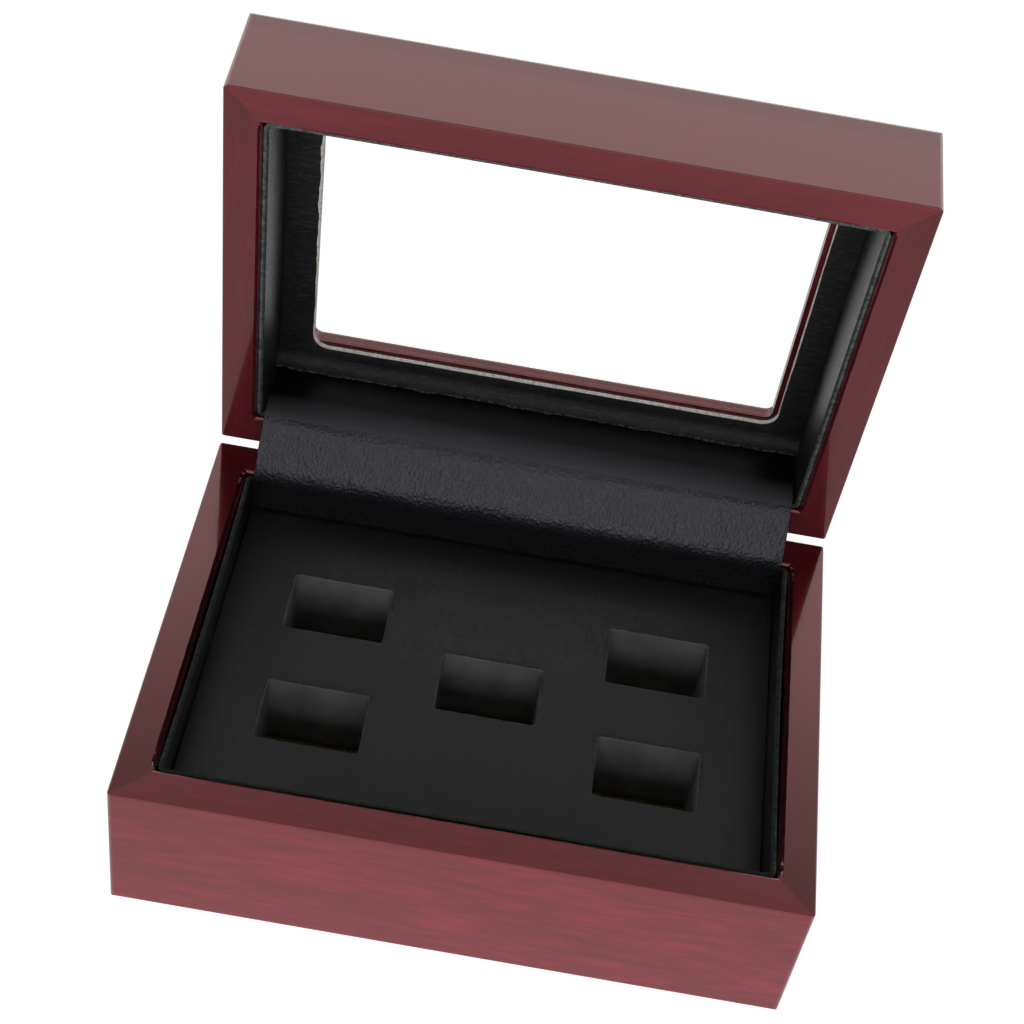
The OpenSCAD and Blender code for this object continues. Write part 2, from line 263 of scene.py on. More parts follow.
def make_object(name, points, faces, *materials, parts=None):
    """A smooth mesh from points in millimetres and faces of vertex numbers. parts gives
    each face the number of its material, where there is more than one."""
    mesh = bpy.data.meshes.new(name)
    mesh.from_pydata((np.asarray(points, float) * MM).tolist(), [], np.asarray(faces).tolist())
    for material in materials:
        mesh.materials.append(material)
    mesh.polygons.foreach_set("use_smooth", np.ones(len(mesh.polygons), bool))
    if parts is not None:
        mesh.polygons.foreach_set("material_index", np.asarray(parts, np.int32))
    mesh.update()
    obj = bpy.data.objects.new(name, mesh)
    scene.collection.objects.link(obj)
    return obj


half = floor_size / MM / 2
floor = make_object(
    "floor",
    [(-half, -half, 0), (half, -half, 0), (half, half, 0), (-half, half, 0)],
    [(0, 1, 2, 3)],
    paper,
)


# Boards of the base and the lid, and the lid's top panel. Dark red stained wood with
# straight, fine grain, sanded and sprayed with gloss lacquer. Each board's colour is scaled
# by a factor of its own, partly the staining and partly painted light and shade: lightest
# on the base's front board, which faces the soft boxes, and darkest on the sides and rear.
wood_dark = "#661c27"
wood_mid = "#771f2c"
wood_bright = "#94243a"
grain_width = 1.6
grain_length = 13
figure_width = 6
figure_length = 28
pore_width = 0.4
pore_length = 6
pore_share = 0.06
darker_part, brighter_part = 0.14, 0.18
ripple_width = 14
ripple_depth = 0.12
arris_waver = 0.25
arris_wavers_per_mm = 0.22
arris_runs_out = 2

hinge = frame["joints"][0]
hinge_point = np.array(hinge["pos_m"]) / MM
open_angle = math.radians(hinge["range_deg"][1])


def turned(points, angle):
    """Points turned about the hinge line by that angle."""
    c, s = math.cos(angle), math.sin(angle)
    turn = np.array([[1, 0, 0], [0, c, -s], [0, s, c]])
    return (np.asarray(points, float) - hinge_point) @ turn.T + hinge_point


def to_open(points):
    """Points drawn on the shut lid, taken to where the lid stands open."""
    return turned(points, -open_angle)


def new_material(name):
    """A material with one Principled BSDF, and its node tree."""
    material = bpy.data.materials.new(name)
    material.use_nodes = True
    tree = material.node_tree
    return material, tree, tree.nodes["Principled BSDF"]


def lacquered_wood(name, turn, stain_and_painted_light, shine, figure=1.0, arris=None, on_lid=False):
    """Stained wood under clear gloss lacquer, with its grain along X once the coordinates
    are turned by turn, its colour scaled by a factor that is partly the staining and partly
    painted light and shade. The lacquer gives sharp reflections that waver a little; the
    stained grain shows through it in long streaks, the fainter the smaller figure is. arris
    gives the axis across the board's eased inner arris, its distance from the middle, its
    width, its slope, and how far from the middle it ends."""
    material, tree, shader = new_material(name)
    place = add(tree, "ShaderNodeTexCoord")
    along = add(tree, "ShaderNodeMapping", {"Rotation": turn}, Vector=place.outputs["Object"])

    def streaks(width, length, detail, shift):
        squeeze = add(
            tree,
            "ShaderNodeMapping",
            {"Location": shift, "Scale": (1 / (length * MM), 1 / (width * MM), 1 / (width * MM))},
            Vector=along.outputs["Vector"],
        )
        return add(
            tree,
            "ShaderNodeTexNoise",
            {"Scale": 1.0, "Detail": detail, "Roughness": 0.5, "Distortion": 0.9},
            Vector=squeeze.outputs["Vector"],
        ).outputs["Fac"]

    fine = streaks(grain_width, grain_length, 2, (3.1, 0.4, 1.7))
    broad = streaks(figure_width, figure_length, 2, (7.7, 2.2, 5.3))
    pores = streaks(pore_width, pore_length, 1, (1.3, 6.1, 4.9))
    figured = add(tree, "ShaderNodeMix", {"Factor": 0.5}, A=fine, B=broad)
    mixed = add(tree, "ShaderNodeMix", {"Factor": pore_share}, A=figured.outputs["Result"], B=pores)
    tone = add(tree, "ShaderNodeValToRGB", {}, Fac=mixed.outputs["Result"])
    ramp = tone.color_ramp
    ramp.elements.new(0.5)
    stops = (0.5 - darker_part / figure, 0.5, 0.5 + brighter_part / figure)
    for stop, position, colour in zip(ramp.elements, stops, (wood_dark, wood_mid, wood_bright)):
        # Each board's factor scales its colour: partly the staining, partly painted light and shade.
        stop.position, stop.color = position, [level * stain_and_painted_light for level in linear(colour)[:3]] + [1.0]
    tree.links.new(tone.outputs["Color"], shader.inputs["Base Color"])
    shader.inputs["Roughness"].default_value = 0.16
    shader.inputs["IOR"].default_value = 1.62
    shader.inputs["Specular IOR Level"].default_value = shine
    shader.inputs["Specular Tint"].default_value = linear("#ff5c64")
    shader.inputs["Coat Weight"].default_value = 1.0
    shader.inputs["Coat Roughness"].default_value = 0.05
    shader.inputs["Coat IOR"].default_value = 1.5
    ripple = add(
        tree,
        "ShaderNodeTexNoise",
        {"Scale": 1 / (ripple_width * MM), "Detail": 2.0, "Roughness": 0.5},
        Vector=place.outputs["Object"],
    )
    eased = {}
    if arris:
        axis, edge, width, slope, end = arris
        shut = place.outputs["Object"]
        if on_lid:
            shift = turned(np.zeros((1, 3)), open_angle)[0] * MM
            shut = add(
                tree, "ShaderNodeMapping", {"Rotation": (open_angle, 0, 0), "Location": shift}, Vector=shut
            ).outputs["Vector"]
        sides = add(tree, "ShaderNodeSeparateXYZ", Vector=shut)
        away = add(tree, "ShaderNodeMath", {"operation": "ABSOLUTE"}, _0=sides.outputs[axis])
        wobble = add(
            tree,
            "ShaderNodeTexNoise",
            {"Scale": arris_wavers_per_mm / MM, "Detail": 2.0},
            Vector=place.outputs["Object"],
        )
        shifted = add(
            tree,
            "ShaderNodeMath",
            {"operation": "MULTIPLY_ADD", "_1": -arris_waver * MM},
            _0=wobble.outputs["Fac"],
            _2=away.outputs[0],
        )
        fallen = add(
            tree,
            "ShaderNodeMapRange",
            {
                "From Min": edge * MM,
                "From Max": (edge + width) * MM,
                "To Min": -width * slope * MM,
                "To Max": 0.0,
            },
            Value=shifted.outputs[0],
        )
        other = sides.outputs["Y" if axis == "X" else "X"]
        down_board = add(tree, "ShaderNodeMath", {"operation": "ABSOLUTE"}, _0=other)
        kept = add(
            tree,
            "ShaderNodeMapRange",
            {"From Min": end * MM, "From Max": (end - arris_runs_out) * MM},
            Value=down_board.outputs[0],
        )
        ended = add(
            tree, "ShaderNodeMath", {"operation": "MULTIPLY"}, _0=fallen.outputs[0], _1=kept.outputs[0]
        )
        edge = add(tree, "ShaderNodeBump", {"Strength": 1.0, "Distance": 1.0}, Height=ended.outputs[0])
        tree.links.new(edge.outputs["Normal"], shader.inputs["Normal"])
        eased = {"Normal": edge.outputs["Normal"]}
    skin = add(
        tree,
        "ShaderNodeBump",
        {"Strength": 0.25, "Distance": ripple_depth * MM},
        Height=ripple.outputs["Fac"],
        **eased,
    )
    tree.links.new(skin.outputs["Normal"], shader.inputs["Coat Normal"])
    return material


def paint(material, *names):
    """Gives CAD nodes a material of their own."""
    for name in names:
        node = frame["nodes"][name]
        node.data.materials.clear()
        node.data.materials.append(material)


quarter = math.radians(90)
base_side_arris = ("X", 71.0, 1.3, 1.2, 48.0)
base_end_arris = ("Y", 48.5, 0.5, 0.55, 70.5)
lid_side_arris = ("X", 71.0, 1.0, 0.8, 48.0)
# The third number is each board's colour factor, partly painted light and shade.
wood_base_front = lacquered_wood("stained_wood_base_front", (0, 0, 0), 1.15, 1.0, 1.0, base_end_arris)
wood_base_rear = lacquered_wood("stained_wood_base_rear", (0, 0, 0), 0.6, 0.7)
wood_base_sides = lacquered_wood(
    "stained_wood_base_sides", (0, 0, quarter), 0.5, 0.7, 1.0, base_side_arris
)
wood_lid_front = lacquered_wood("stained_wood_lid_front", (0, 0, 0), 0.85, 0.72, 0.5)
wood_lid_rear = lacquered_wood("stained_wood_lid_rear", (0, 0, 0), 0.6, 0.7)
wood_lid_sides = lacquered_wood(
    "stained_wood_lid_sides", (0, quarter, 0), 0.55, 0.7, 0.7, lid_side_arris, True
)
wood_panel = lacquered_wood("stained_wood_lid_panel", (0, 0, 0), 0.7, 0.6)
paint(wood_base_front, "base_front_board")
paint(wood_base_rear, "base_rear_board")
paint(wood_base_sides, "base_left_board", "base_right_board")
paint(wood_lid_front, "lid_front_board")
paint(wood_lid_rear, "lid_rear_board")
paint(wood_lid_sides, "lid_left_board", "lid_right_board")
paint(wood_panel, "lid_top_panel")


# Window pane. Clear float glass, cut to size and laid in the rebate round the panel's
# window, where the covered card below holds it.
glass, tree, shader = new_material("float_glass")
shader.inputs["Base Color"].default_value = linear("#fbfdfc")
shader.inputs["Roughness"].default_value = 0.0
shader.inputs["IOR"].default_value = 1.5
shader.inputs["Transmission Weight"].default_value = 1.0
paint(glass, "window_pane")


# Leathercloth. Cotton cloth coated with black vinyl, embossed with a pebble
# grain: satin, with the grain's tops catching the light. Some pieces also have painted
# highlights, painted light and painted shade in their colour.
pebble_wander = 0.7
wanders_per_mm = 0.4
blotches_per_mm = 0.12
# Slant of the painted highlights' streaks along the grain.
streak_angle = 14
# Painted shade on the insert: darkest at the first distance of each pair, toward its sides and its rear, and
# fully lightened at the second.
side_shaded_at, side_lit_at = 67, 42
rear_shaded_at, rear_lit_at = 46, 14


def leathercloth(
    name,
    grain,
    stretch,
    depth,
    roughness,
    colour,
    shine=0.5,
    tint="#ffffff",
    streak_highlights=None,
    highlighted_tops=None,
    painted_light_middle=None,
    painted_light_toward=None,
):
    """grain is the pebbles' spacing in millimetres, stretch how many times longer they
    are along each axis, and depth the relief in millimetres. The four arguments after tint
    paint light and shade into the colour. The first gives the length and width of fine pale
    streaks along the grain, painted highlights, and their colour. The second is the colour
    of painted highlights on the tops of the pebbles. The third is a colour that the middle
    of the insert is lightened to, leaving painted shade toward its sides and rear. The
    fourth gives a direction, two distances along it and a colour: the cloth turns to that
    colour from the first distance to the second, painted light with painted shade before it."""
    material, tree, shader = new_material(name)
    place = add(tree, "ShaderNodeTexCoord")
    scale = [1 / (grain * MM * s) for s in stretch]
    wander = add(
        tree,
        "ShaderNodeTexNoise",
        {"Scale": wanders_per_mm / MM, "Detail": 2.0},
        Vector=place.outputs["Object"],
    )
    shift = add(
        tree,
        "ShaderNodeVectorMath",
        {"operation": "MULTIPLY_ADD", "_1": (pebble_wander * MM,) * 3},
        _0=wander.outputs["Color"],
        _2=place.outputs["Object"],
    )
    sized = add(tree, "ShaderNodeMapping", {"Scale": scale}, Vector=shift.outputs["Vector"])
    pebbles = add(
        tree,
        "ShaderNodeTexVoronoi",
        {"feature": "SMOOTH_F1", "Scale": 1.0, "Smoothness": 0.35, "Randomness": 0.9},
        Vector=sized.outputs["Vector"],
    )
    tops = add(
        tree,
        "ShaderNodeMapRange",
        {"From Min": 0.05, "From Max": 0.75, "To Min": 1.0, "To Max": 0.0},
        Value=pebbles.outputs["Distance"],
    )
    blotch = add(
        tree,
        "ShaderNodeTexNoise",
        {"Scale": blotches_per_mm / MM, "Detail": 3.0},
        Vector=place.outputs["Object"],
    )
    relief = add(tree, "ShaderNodeMix", {"Factor": 0.25}, A=tops.outputs["Result"], B=blotch.outputs["Fac"])
    bump = add(
        tree, "ShaderNodeBump", {"Strength": 1.0, "Distance": depth * MM}, Height=relief.outputs["Result"]
    )
    tree.links.new(bump.outputs["Normal"], shader.inputs["Normal"])
    tone = add(tree, "ShaderNodeValToRGB", {}, Fac=blotch.outputs["Fac"])
    for stop, position, shade in zip(tone.color_ramp.elements, (0.3, 0.7), colour):
        stop.position, stop.color = position, linear(shade)
    skin = tone.outputs["Color"]
    # Painted highlights: the tops of the pebbles turn a paler colour.
    if highlighted_tops:
        peaks = add(
            tree, "ShaderNodeMapRange", {"From Min": 0.45, "From Max": 0.95}, Value=tops.outputs["Result"]
        )
        lit_tops = add(
            tree,
            "ShaderNodeMix",
            {"data_type": "RGBA", "_7": linear(highlighted_tops)},
            _0=peaks.outputs["Result"],
            _6=skin,
        )
        skin = lit_tops.outputs[2]
    # Painted light and shade: the cloth turns paler along a direction, and stays dark before it.
    if painted_light_toward:
        way, begin, end, paler = painted_light_toward
        distance = add(
            tree, "ShaderNodeVectorMath", {"operation": "DOT_PRODUCT", "_1": way}, _0=place.outputs["Object"]
        )
        painted_light_step = add(
            tree,
            "ShaderNodeMapRange",
            {"From Min": begin * MM, "From Max": end * MM},
            Value=distance.outputs["Value"],
        )
        painted_shading = add(
            tree,
            "ShaderNodeMix",
            {"data_type": "RGBA", "_7": linear(paler)},
            _0=painted_light_step.outputs[0],
            _6=skin,
        )
        skin = painted_shading.outputs[2]
    # Painted shade: the insert darkens from its middle toward its sides and its rear.
    if painted_light_middle:
        sides = add(tree, "ShaderNodeSeparateXYZ", Vector=place.outputs["Object"])
        across = add(tree, "ShaderNodeMath", {"operation": "ABSOLUTE"}, _0=sides.outputs["X"])
        from_side = add(
            tree,
            "ShaderNodeMapRange",
            {"From Min": side_shaded_at * MM, "From Max": side_lit_at * MM},
            Value=across.outputs[0],
        )
        from_rear = add(
            tree,
            "ShaderNodeMapRange",
            {"From Min": rear_shaded_at * MM, "From Max": rear_lit_at * MM},
            Value=sides.outputs["Y"],
        )
        inside = add(
            tree,
            "ShaderNodeMath",
            {"operation": "MULTIPLY"},
            _0=from_side.outputs[0],
            _1=from_rear.outputs[0],
        )
        painted_shading = add(
            tree,
            "ShaderNodeMix",
            {"data_type": "RGBA", "_7": linear(painted_light_middle)},
            _0=inside.outputs[0],
            _6=skin,
        )
        skin = painted_shading.outputs[2]
    # Painted highlights: fine pale streaks along the grain.
    if streak_highlights:
        length, width, highlight_colour = streak_highlights
        fine = 1 / (width * MM)
        drawn = add(
            tree,
            "ShaderNodeMapping",
            {"Rotation": (0, math.radians(streak_angle), 0), "Scale": (1 / (length * MM), fine, fine)},
            Vector=place.outputs["Object"],
        )
        streak_noise = add(
            tree,
            "ShaderNodeTexNoise",
            {"Scale": 1.0, "Detail": 3.0, "Distortion": 1.4},
            Vector=drawn.outputs["Vector"],
        )
        streak_mask = add(
            tree, "ShaderNodeMapRange", {"From Min": 0.5, "From Max": 0.78}, Value=streak_noise.outputs["Fac"]
        )
        painted_light_step = add(
            tree,
            "ShaderNodeMix",
            {"data_type": "RGBA", "_7": linear(highlight_colour)},
            _0=streak_mask.outputs["Result"],
            _6=skin,
        )
        skin = painted_light_step.outputs[2]
    tree.links.new(skin, shader.inputs["Base Color"])
    dull = add(
        tree,
        "ShaderNodeMapRange",
        {"To Min": roughness + 0.1, "To Max": roughness - 0.06},
        Value=tops.outputs["Result"],
    )
    tree.links.new(dull.outputs["Result"], shader.inputs["Roughness"])
    shader.inputs["IOR"].default_value = 1.5
    shader.inputs["Specular IOR Level"].default_value = shine
    shader.inputs["Specular Tint"].default_value = linear(tint)
    return material


black = ("#0c0c0d", "#141416")
lining_cloth = leathercloth("vinyl_leathercloth_linings", 0.9, (1, 1, 1), 0.02, 0.36, black, 1.0)
insert_cloth = leathercloth(
    "vinyl_leathercloth_insert",
    0.9,
    (1, 1, 1),
    0.04,
    0.46,
    ("#080809", "#0d0d0e"),
    0.45,
    # Painted shade: lighter in the middle, darker toward the sides and rear.
    painted_light_middle="#2c2c2d",
)
card_cloth = leathercloth(
    "vinyl_leathercloth_card",
    0.6,
    (1, 1, 1),
    0.04,
    0.55,
    ("#131314", "#1d1d1f"),
    0.4,
    # Painted highlights: fine pale streaks along the grain.
    streak_highlights=(3.2, 0.34, "#454547"),
)


# Linings of the base and the lid. Strips of card wrapped in black leathercloth and glued
# inside the boards; their rolled edges show along the rims, pale down the sides' outer edge
# and along the lid's front, partly worn and partly a painted highlight, and between the
# corners they lean in a little from the wood.
lining_thickness = 1.3
lining_corner = 2.0
arch_height = 0.16
arch_power = 0.4
shoulder_steps = 12
lining_lean = 0.5
lid_bow, base_bow = 0.72, 0.45
rounded_share = 0.6
thin_front = 0.45
lining_foot_at = 30.2
side_steps = 60
corner_steps = 8
roll_steps = 14
wall_steps = 14
edge_mottle_per_mm = 0.9
# How pale the cut edge is, least and most: partly wear, partly a painted highlight.
least_pale, most_pale = 0.14, 0.62

# Where the edge turns pale, partly worn and partly a painted highlight: distances from the middle, and
# heights on the open lid.
side_dark_within, side_pale_from = 69.9, 70.5
front_dark_below, front_pale_from = 145, 148

# Cut edge of the cloth: bare cotton, matt, near black, and mottled grey where it turns pale, partly worn and
# partly a painted highlight.
cloth_edge, tree, shader = new_material("cut_cloth_edge")
place = add(tree, "ShaderNodeTexCoord")
mottle = add(
    tree,
    "ShaderNodeTexNoise",
    {"Scale": edge_mottle_per_mm / MM, "Detail": 3.0},
    Vector=place.outputs["Object"],
)
tone = add(tree, "ShaderNodeValToRGB", {}, Fac=mottle.outputs["Fac"])
for stop, position, shade in zip(tone.color_ramp.elements, (0.35, 0.65), ("#4c5251", "#8c9493")):
    stop.position, stop.color = position, linear(shade)
# Paler down the sides' outer edge and along the lid's front: partly wear, partly a painted highlight.
at_side = add(tree, "ShaderNodeSeparateXYZ", Vector=place.outputs["Object"])
across = add(tree, "ShaderNodeMath", {"operation": "ABSOLUTE"}, _0=at_side.outputs["X"])
beside = add(
    tree,
    "ShaderNodeMapRange",
    {"From Min": side_dark_within * MM, "From Max": side_pale_from * MM},
    Value=across.outputs[0],
)
above = add(
    tree,
    "ShaderNodeMapRange",
    {"From Min": front_dark_below * MM, "From Max": front_pale_from * MM},
    Value=at_side.outputs["Z"],
)
either = add(tree, "ShaderNodeMath", {"operation": "MAXIMUM"}, _0=beside.outputs[0], _1=above.outputs[0])
edge_wear_and_highlight = add(tree, "ShaderNodeMapRange", {"To Min": least_pale, "To Max": most_pale}, Value=either.outputs[0])
pale = add(
    tree,
    "ShaderNodeMix",
    {"data_type": "RGBA", "_6": (0.004, 0.005, 0.005, 1)},
    _0=edge_wear_and_highlight.outputs["Result"],
    _7=tone.outputs["Color"],
)
tree.links.new(pale.outputs[2], shader.inputs["Base Color"])
shader.inputs["Roughness"].default_value = 0.8
shader.inputs["Specular IOR Level"].default_value = 0.3


def shut_box(name):
    """Lowest and highest corners of a CAD node, in millimetres, with the lid shut."""
    node = frame["nodes"][name]
    points = np.empty(len(node.data.vertices) * 3)
    node.data.vertices.foreach_get("co", points)
    points = turned(points.reshape(-1, 3) / MM, open_angle)
    return points.min(0), points.max(0)


def rounded_rectangle(half_width, half_depth, radius):
    """Points and outward normals round a rectangle with round corners, and how far along
    its side each point is, from 0 to 1. Each corner is a quarter circle about its own
    centre, and each side joins two of them by equal steps."""
    corners = np.array([[1, -1], [1, 1], [-1, 1], [-1, -1]]) * [half_width - radius, half_depth - radius]
    points, normals, shares = [], [], []
    for number, start in enumerate(corners):
        turn = math.radians(90 * (number - 1)) + np.linspace(0, math.pi / 2, corner_steps + 1)
        arc = np.stack([np.cos(turn), np.sin(turn)], -1)
        points.append(start + radius * arc)
        normals.append(arc)
        shares.append(np.zeros(corner_steps + 1))
        share = np.linspace(0, 1, side_steps + 1)[1:-1, None]
        end = corners[(number + 1) % 4]
        points.append(start + (end - start) * share + radius * arc[-1])
        normals.append(np.repeat(arc[-1:], len(share), 0))
        shares.append(share[:, 0])
    return np.concatenate(points), np.concatenate(normals), np.concatenate(shares)


def grid_faces(rows, columns, close_rows=False, close_columns=False):
    """Faces of a grid of points counted along its rows; a closed side meets its start."""
    r = np.arange(rows if close_rows else rows - 1)[:, None]
    c = np.arange(columns if close_columns else columns - 1)[None, :]
    r_next, c_next = (r + 1) % rows, (c + 1) % columns
    corners = [r * columns + c, r_next * columns + c, r_next * columns + c_next, r * columns + c_next]
    return np.stack([np.broadcast_to(x, (r.size, c.size)) for x in corners], -1).reshape(-1, 4)


def waver(t, seed):
    """A smooth uneven line of about -1 to 1: four sine waves of unlike lengths."""
    rates = np.array([0.071, 0.167, 0.391, 0.893]) * (1 + 0.13 * seed)
    shares = np.array([0.42, 0.3, 0.18, 0.1])
    phases = seed * np.array([1.7, 2.9, 4.3, 5.1])
    return (shares * np.sin(2 * math.pi * np.asarray(t)[..., None] * rates + phases)).sum(-1)


def facing_out(points, faces):
    """The faces of a closed mesh, turned round if they enclose a negative volume."""
    a, b, c, d = (points[faces[:, k]] for k in range(4))
    volume = (np.cross(b - a, c - a) * a).sum() + (np.cross(c - a, d - a) * a).sum()
    return faces if volume > 0 else faces[:, ::-1]


def lining(rim, foot, outer, lean_foot, lean_power, lean, most_bow):
    """A closed band: a strip's section carried round a rounded rectangle. The section runs
    up the outer face, over a flat arch at the rim, and down the inner face, which curves in
    by a parabola until rounded_share of its depth and then runs straight. Between the
    corners it stands in by sin(side share) times a power of its height's share. Faces of
    the arch are part 1, all but its inner shoulder."""
    path, normal, share = rounded_rectangle(outer[0], outer[1], lining_corner)
    side = math.copysign(1, rim - foot)
    over = np.linspace(0, math.pi, roll_steps + 1)
    arch = np.sign(np.cos(over)) * np.abs(np.cos(over)) ** arch_power
    roll_at = rim - side * arch_height
    climb = np.linspace(foot, roll_at, wall_steps)
    depth = np.concatenate([
        np.zeros(wall_steps - 1),
        lining_thickness / 2 * (1 - arch),
        np.full(wall_steps - 1, lining_thickness),
    ])
    height = np.concatenate([
        climb[:-1], roll_at + side * arch_height * np.sin(over) ** arch_power, climb[:-1][::-1]
    ])
    bow = np.zeros(len(depth))
    down = np.linspace(0, 1, wall_steps)[1:]
    bow[-len(down):] = most_bow * (1 - (1 - np.minimum(down / rounded_share, 1)) ** 2)
    reach = np.clip((height - lean_foot) / (rim - lean_foot), 0, 1) ** lean_power
    between = np.sin(math.pi * share) ** 0.7 * np.where(normal[:, 1] > 0.99, 0, 1)
    thinner = 1 - thin_front * np.where(normal[:, 1] < -0.99, np.sin(math.pi * share) ** 0.3, 0)
    inward = thinner[:, None] * depth[None] + between[:, None] * (lean * reach + bow)[None]
    flat = path[:, None] - normal[:, None] * inward[..., None]
    points = np.concatenate([flat, np.broadcast_to(height[None, :, None], flat.shape[:2] + (1,))], -1)
    faces = grid_faces(len(path), len(depth), True, True)
    column = np.tile(np.arange(len(depth)), len(path))
    points = points.reshape(-1, 3)
    parts = (column >= wall_steps - 1) & (column < wall_steps - 1 + shoulder_steps)
    return points, facing_out(points, faces), parts.astype(int)


low, high = shut_box("lid_lining")
points, faces, parts = lining(low[2], high[2], high[:2] - (low + high)[:2] / 2, high[2], 0, 0, lid_bow)
lid_lining = make_object("lid_lining_wrapped", to_open(points), faces, lining_cloth, cloth_edge, parts=parts)
low, high = (np.array(corner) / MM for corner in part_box("base_lining"))
half = high[:2] - (low + high)[:2] / 2
points, faces, parts = lining(high[2], low[2], half, lining_foot_at, 1.4, lining_lean, base_bow)
base_lining = make_object("base_lining_wrapped", points, faces, lining_cloth, cloth_edge, parts=parts)
for piece, body, node in ((lid_lining, "lid", "lid_lining"), (base_lining, "base", "base_lining")):
    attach(piece, body)
    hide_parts(node)


# Window card. Grey board covered with the same leathercloth, with the window cut through
# both, so the board's pale core shows round it. At the hinge side its cloth is turned up
# over the end of the hinge cover and torn off unevenly.
card_opening = (61.0, 39.6)
card_opening_shift = 0.9
card_opening_corner = 4
card_outer_corner = 1.5
cut_slope = 0.22
cut_slope_uneven = 0.12
cut_slope_left = 0.55
face_rings = 7
cut_margin = 0.8
flap_front = 46.0
flap_thickness = 0.4
flap_start = 42.4
flap_steps = 17
flap_seam = 58.75
flap_columns = 700
plies_per_mm = 1.1
threads_per_mm = 1.3

# Cut edge of the grey board: matt and pale, with faint darker plies.
card_core, tree, shader = new_material("grey_board_cut_edge")
place = add(tree, "ShaderNodeTexCoord")
plies = add(
    tree, "ShaderNodeTexNoise", {"Scale": plies_per_mm / MM, "Detail": 3.0}, Vector=place.outputs["Object"]
)
tone = add(tree, "ShaderNodeValToRGB", {}, Fac=plies.outputs["Fac"])
for stop, position, shade in zip(tone.color_ramp.elements, (0.35, 0.6), ("#e6d3c2", "#ffffff")):
    stop.position, stop.color = position, linear(shade)
tree.links.new(tone.outputs["Color"], shader.inputs["Base Color"])
shader.inputs["Roughness"].default_value = 0.85

# Torn cotton backing: matt, with grey threads over black.
torn_cloth, tree, shader = new_material("torn_cotton_backing")
place = add(tree, "ShaderNodeTexCoord")
threads = add(
    tree, "ShaderNodeTexNoise", {"Scale": threads_per_mm / MM, "Detail": 3.0}, Vector=place.outputs["Object"]
)
tone = add(tree, "ShaderNodeValToRGB", {}, Fac=threads.outputs["Fac"])
for stop, position, shade in zip(tone.color_ramp.elements, (0.4, 0.65), ("#121213", "#656468")):
    stop.position, stop.color = position, linear(shade)
tree.links.new(tone.outputs["Color"], shader.inputs["Base Color"])
shader.inputs["Roughness"].default_value = 0.9


def slab(front, back):
    """Points and faces of a closed slab between two grids: the front grid, the back grid
    turned over, and strips of faces round their border. The strips come last."""
    rows, columns = front.shape[:2]
    count = rows * columns
    top = grid_faces(rows, columns)
    across = np.arange(columns)
    down = np.arange(rows) * columns
    border = np.concatenate([
        across[:-1], down[:-1] + columns - 1, (down[-1] + across)[:0:-1], down[:0:-1]
    ])
    after = np.roll(border, -1)
    strips = np.stack([border, after, after + count, border + count], -1)
    points = np.concatenate([front.reshape(-1, 3), back.reshape(-1, 3)])
    faces = np.concatenate([top, (top + count)[:, ::-1], strips])
    return points, facing_out(points, faces)


low, high = shut_box("window_card")
card_half = (high - low)[:2] / 2
opening = np.array(card_opening)
rings, heights = [], []


def card_ring(half_size, corner, shift, height, spread=0.0):
    """One ring of the card: a rounded rectangle, spread outward along its normals."""
    path, normal, share = rounded_rectangle(half_size[0], half_size[1], corner)
    rings.append(path + [shift, 0] + normal * np.asarray(spread).reshape(-1, 1))
    heights.append(height)


path, normal, share = rounded_rectangle(*card_opening, card_opening_corner)
around = np.cumsum(np.linalg.norm(np.roll(path, -1, 0) - path, axis=1))
torn = cut_slope + cut_slope_uneven * waver(around / 4, 1.0)
on_left = np.clip(-normal[:, 0], 0, 1) * (0.6 - path[:, 1] / 90)
torn = torn + cut_slope_left * on_left * (1 + 0.7 * waver(around / 1.3, 2.2))
card_ring(card_half, card_outer_corner, 0, high[2])
card_ring(card_half, card_outer_corner, 0, low[2])
for share in np.linspace(0, 1, face_rings)[1:-1]:
    card_ring(
        card_half + (opening + cut_margin - card_half) * share,
        card_outer_corner + (card_opening_corner + cut_margin - card_outer_corner) * share,
        card_opening_shift * share,
        low[2],
    )
card_ring(opening, card_opening_corner, card_opening_shift, low[2], torn + 0.12)
card_ring(opening, card_opening_corner, card_opening_shift, low[2] + 0.05, torn)
card_ring(opening, card_opening_corner, card_opening_shift, high[2])
flat = np.stack(rings, 1)
height = np.broadcast_to(np.array(heights)[None, :, None], flat.shape[:2] + (1,))
points = np.concatenate([flat, height], -1).reshape(-1, 3)
faces = grid_faces(flat.shape[0], flat.shape[1], True, True)
column = np.tile(np.arange(flat.shape[1]), flat.shape[0])
parts = (column == flat.shape[1] - 2).astype(int)
faces = facing_out(points, faces)

x = np.linspace(low[0] + 0.3, high[0] - 0.3, flap_columns)
seam = flap_seam + 0.35 * waver(x / 60, 2.0) + 0.36 * waver(x / 2.6, 3.0) + 0.24 * waver(x / 0.7, 1.6)
drop = np.linspace(0, 1, flap_steps)
bend = drop * math.pi / 2
z = low[2] + 0.03 + (seam[:, None] - low[2] - 0.03) * (1 - np.cos(bend))[None]
bulge = 0.12 * waver(x[:, None] / 3 + z, 1.4) * drop[None]
front_y = flap_start + (flap_front - flap_start) * np.sin(bend)[None] + bulge - 0.1
front = np.stack([np.broadcast_to(x[:, None], z.shape), front_y, z], -1)
back = front + flap_thickness * np.stack([bend * 0, np.sin(bend), np.cos(bend)], -1)[None]
flap_points, flap_faces = slab(front, back)
flap_parts = np.zeros(len(flap_faces), int)
flap_parts[-2 * (len(x) + len(drop)) + 4:] = 2
flap_parts[np.arange(len(x) - 1) * (len(drop) - 1) + len(drop) - 2] = 2
faces = np.concatenate([faces, flap_faces + len(points)])
points = np.concatenate([points, flap_points])
parts = np.concatenate([parts, flap_parts])
